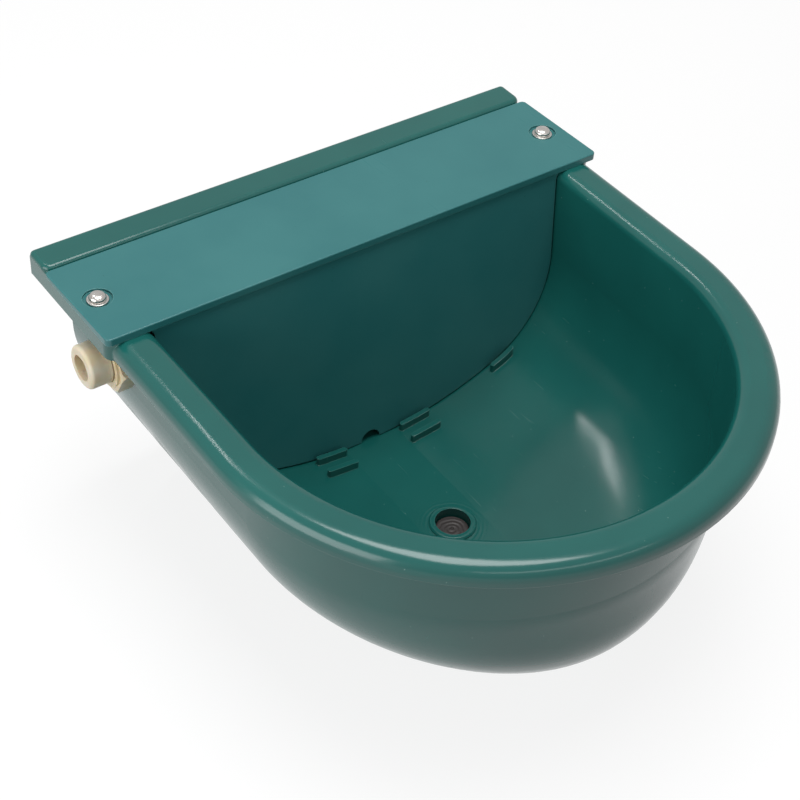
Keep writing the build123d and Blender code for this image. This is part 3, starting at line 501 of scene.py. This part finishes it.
def lathe(profile, turns):
    # closed surface of a profile of (radius, height) points turned about Z, with the poles as single points
    points, faces, rows = [], [], []
    for radius, height in profile:
        if radius == 0:
            rows.append([len(points)] * turns)
            points.append((0.0, 0.0, height))
            continue
        rows.append([len(points) + step for step in range(turns)])
        for step in range(turns):
            angle = 2 * math.pi * step / turns
            points.append((radius * math.cos(angle), radius * math.sin(angle), height))
    for lower, upper in zip(rows, rows[1:]):
        for step in range(turns):
            after = (step + 1) % turns
            ring = [lower[step], lower[after], upper[after], upper[step]]
            face = [index for place, index in enumerate(ring) if index not in ring[:place]]
            faces.append(face)
    return points, faces


def makeObject(name, points, faces, slot):
    mesh = bpy.data.meshes.new(name)
    mesh.from_pydata(points, [], faces)
    mesh.update()
    mesh.materials.append(materials[slot])
    piece = bpy.data.objects.new(name, mesh)
    bpy.context.scene.collection.objects.link(piece)
    return piece


def shadeSmooth(mesh, sharpAngle):
    for polygon in mesh.polygons:
        polygon.use_smooth = True
    mesh.set_sharp_from_angle(angle=math.radians(sharpAngle))


screwLook = {
    "shankRadius": 2.0,
    "shankLength": 14.0,
    "threadDepth": 0.45,
    "threadPitch": 1.4,
    "pointShare": 0.5,            # radius of the blunt point, as a share of the thread's core
    "pointLength": 0.2,
    "taperLength": 0.9,           # from the tip to the first ridge
    "plainLength": 1.0,           # bare shank under the head, at least
    "ridgeRunOut": 0.3,
    "seatShare": 0.97,            # radius of the head's underside, as a share of the head's
    "seatBevel": 0.15,
    "rimHeight": 0.8,             # upright edge under the head's dome
    "domeSteps": 12,
    "domePower": 0.65,            # under 1 makes the dome fuller than a half ball
    "crossLength": 4.6,
    "crossWidth": 1.25,
    "crossDepth": 1.9,
    "crossTaper": 0.45,           # size at the bottom of the recess, as a share of its mouth
    "crossClear": 1.0,            # how far the cutter stands out of the head
    "crossAngles": (24.0, 61.0),  # of the left and the right screw, in degrees
    "sharpAngle": 38.0,
    "turns": 48,
}


def screwProfile(look, headRadius, low, seat, top):
    # point, thread ridges, shank, then the pan head
    shank = mm(look["shankRadius"])
    core = mm(look["shankRadius"] - look["threadDepth"])
    pitch = mm(look["threadPitch"])
    profile = [(0, low), (core * look["pointShare"], low + mm(look["pointLength"]))]
    height = low + mm(look["taperLength"])
    while height + pitch < seat - mm(look["plainLength"]):
        profile.append((core, height))
        profile.append((shank, height + pitch / 2))
        height += pitch
    profile += [(core, height), (shank, height + mm(look["ridgeRunOut"])), (shank, seat)]
    profile += [(headRadius * look["seatShare"], seat), (headRadius, seat + mm(look["seatBevel"]))]
    dome = seat + mm(look["rimHeight"])
    steps = look["domeSteps"]
    for step in range(steps):
        angle = math.radians(90 * step / steps)
        radius = headRadius * math.cos(angle) ** look["domePower"]
        profile.append((radius, dome + (top - dome) * math.sin(angle)))
    profile.append((0, top))
    return profile


def crossCutter(look, top):
    # two wedges across each other, narrower at the bottom
    points, faces = [], []
    length, width = mm(look["crossLength"]) / 2, mm(look["crossWidth"]) / 2
    mouth = (top + mm(look["crossClear"]), 1.0)
    bottom = (top - mm(look["crossDepth"]), look["crossTaper"])
    for half in ((length, width), (width, length)):
        start = len(points)
        for height, share in (mouth, bottom):
            for x, y in ((-1, -1), (1, -1), (1, 1), (-1, 1)):
                points.append((x * half[0] * share, y * half[1] * (1 + share) / 2, height))
        for face in ((0, 1, 2, 3), (7, 6, 5, 4), (0, 4, 5, 1), (1, 5, 6, 2), (2, 6, 7, 3), (3, 7, 4, 0)):
            faces.append([start + index for index in reversed(face)])
    return points, faces


def makeScrews(look):
    low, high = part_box("cover_screws")
    headRadius = (high[1] - low[1]) / 2
    middleY = (high[1] + low[1]) / 2
    seat = low[2] + mm(look["shankLength"])
    profile = screwProfile(look, headRadius, low[2], seat, high[2])
    places = (low[0] + headRadius, high[0] - headRadius)
    pieces = []
    for side, x, angle in zip(("Left", "Right"), places, look["crossAngles"]):
        blank = makeObject("screwBlank", *lathe(profile, look["turns"]), "stainless")
        cutter = makeObject("crossCutter", *crossCutter(look, high[2]), "stainless")
        cut = blank.modifiers.new("cross", "BOOLEAN")
        cut.operation = "DIFFERENCE"
        cut.solver = "EXACT"
        cut.use_self = True
        cut.object = cutter
        bpy.context.view_layer.update()
        ready = blank.evaluated_get(bpy.context.evaluated_depsgraph_get())
        mesh = bpy.data.meshes.new_from_object(ready)
        mesh.transform(Matrix.Translation((x, middleY, 0)) @ Matrix.Rotation(math.radians(angle), 4, "Z"))
        for spare in (blank, cutter):
            bpy.data.objects.remove(spare)
        shadeSmooth(mesh, look["sharpAngle"])
        piece = bpy.data.objects.new("panHeadScrew" + side, mesh)
        bpy.context.scene.collection.objects.link(piece)
        pieces.append(piece)
    return pieces


washerLook = {
    "holeRadius": 2.2,
    "edge": 0.28,                 # radius of the rolled edges
    "edgeSteps": 4,
    "sharpAngle": 50.0,
    "turns": 64,
}


def makeWashers(look):
    # stamped ring with rolled-over edges
    low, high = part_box("cover_washers")
    outer = (high[1] - low[1]) / 2
    inner = mm(look["holeRadius"])
    edge = mm(look["edge"])
    # the middles of the four rolled corners, and the angle at which each starts
    corners = ((outer - edge, low[2] + edge, -90), (outer - edge, high[2] - edge, 0),
               (inner + edge, high[2] - edge, 90), (inner + edge, low[2] + edge, 180))
    steps = look["edgeSteps"]
    profile = []
    for radius, height, start in corners:
        for step in range(steps + 1):
            angle = math.radians(start + 90 * step / steps)
            profile.append((radius + edge * math.cos(angle), height + edge * math.sin(angle)))
    profile.append(profile[0])
    pieces = []
    for side, x in (("Left", low[0] + outer), ("Right", high[0] - outer)):
        points, faces = lathe(profile, look["turns"])
        piece = makeObject("coverWasher" + side, points, faces, "stainless_washer")
        piece.data.transform(Matrix.Translation((x, (low[1] + high[1]) / 2, 0)))
        shadeSmooth(piece.data, look["sharpAngle"])
        pieces.append(piece)
    return pieces


for piece in makeScrews(screwLook):
    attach(piece, "cover")
    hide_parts("cover_screws")
for piece in makeWashers(washerLook):
    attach(piece, "cover")
    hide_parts("cover_washers")
print("screws and washers made")
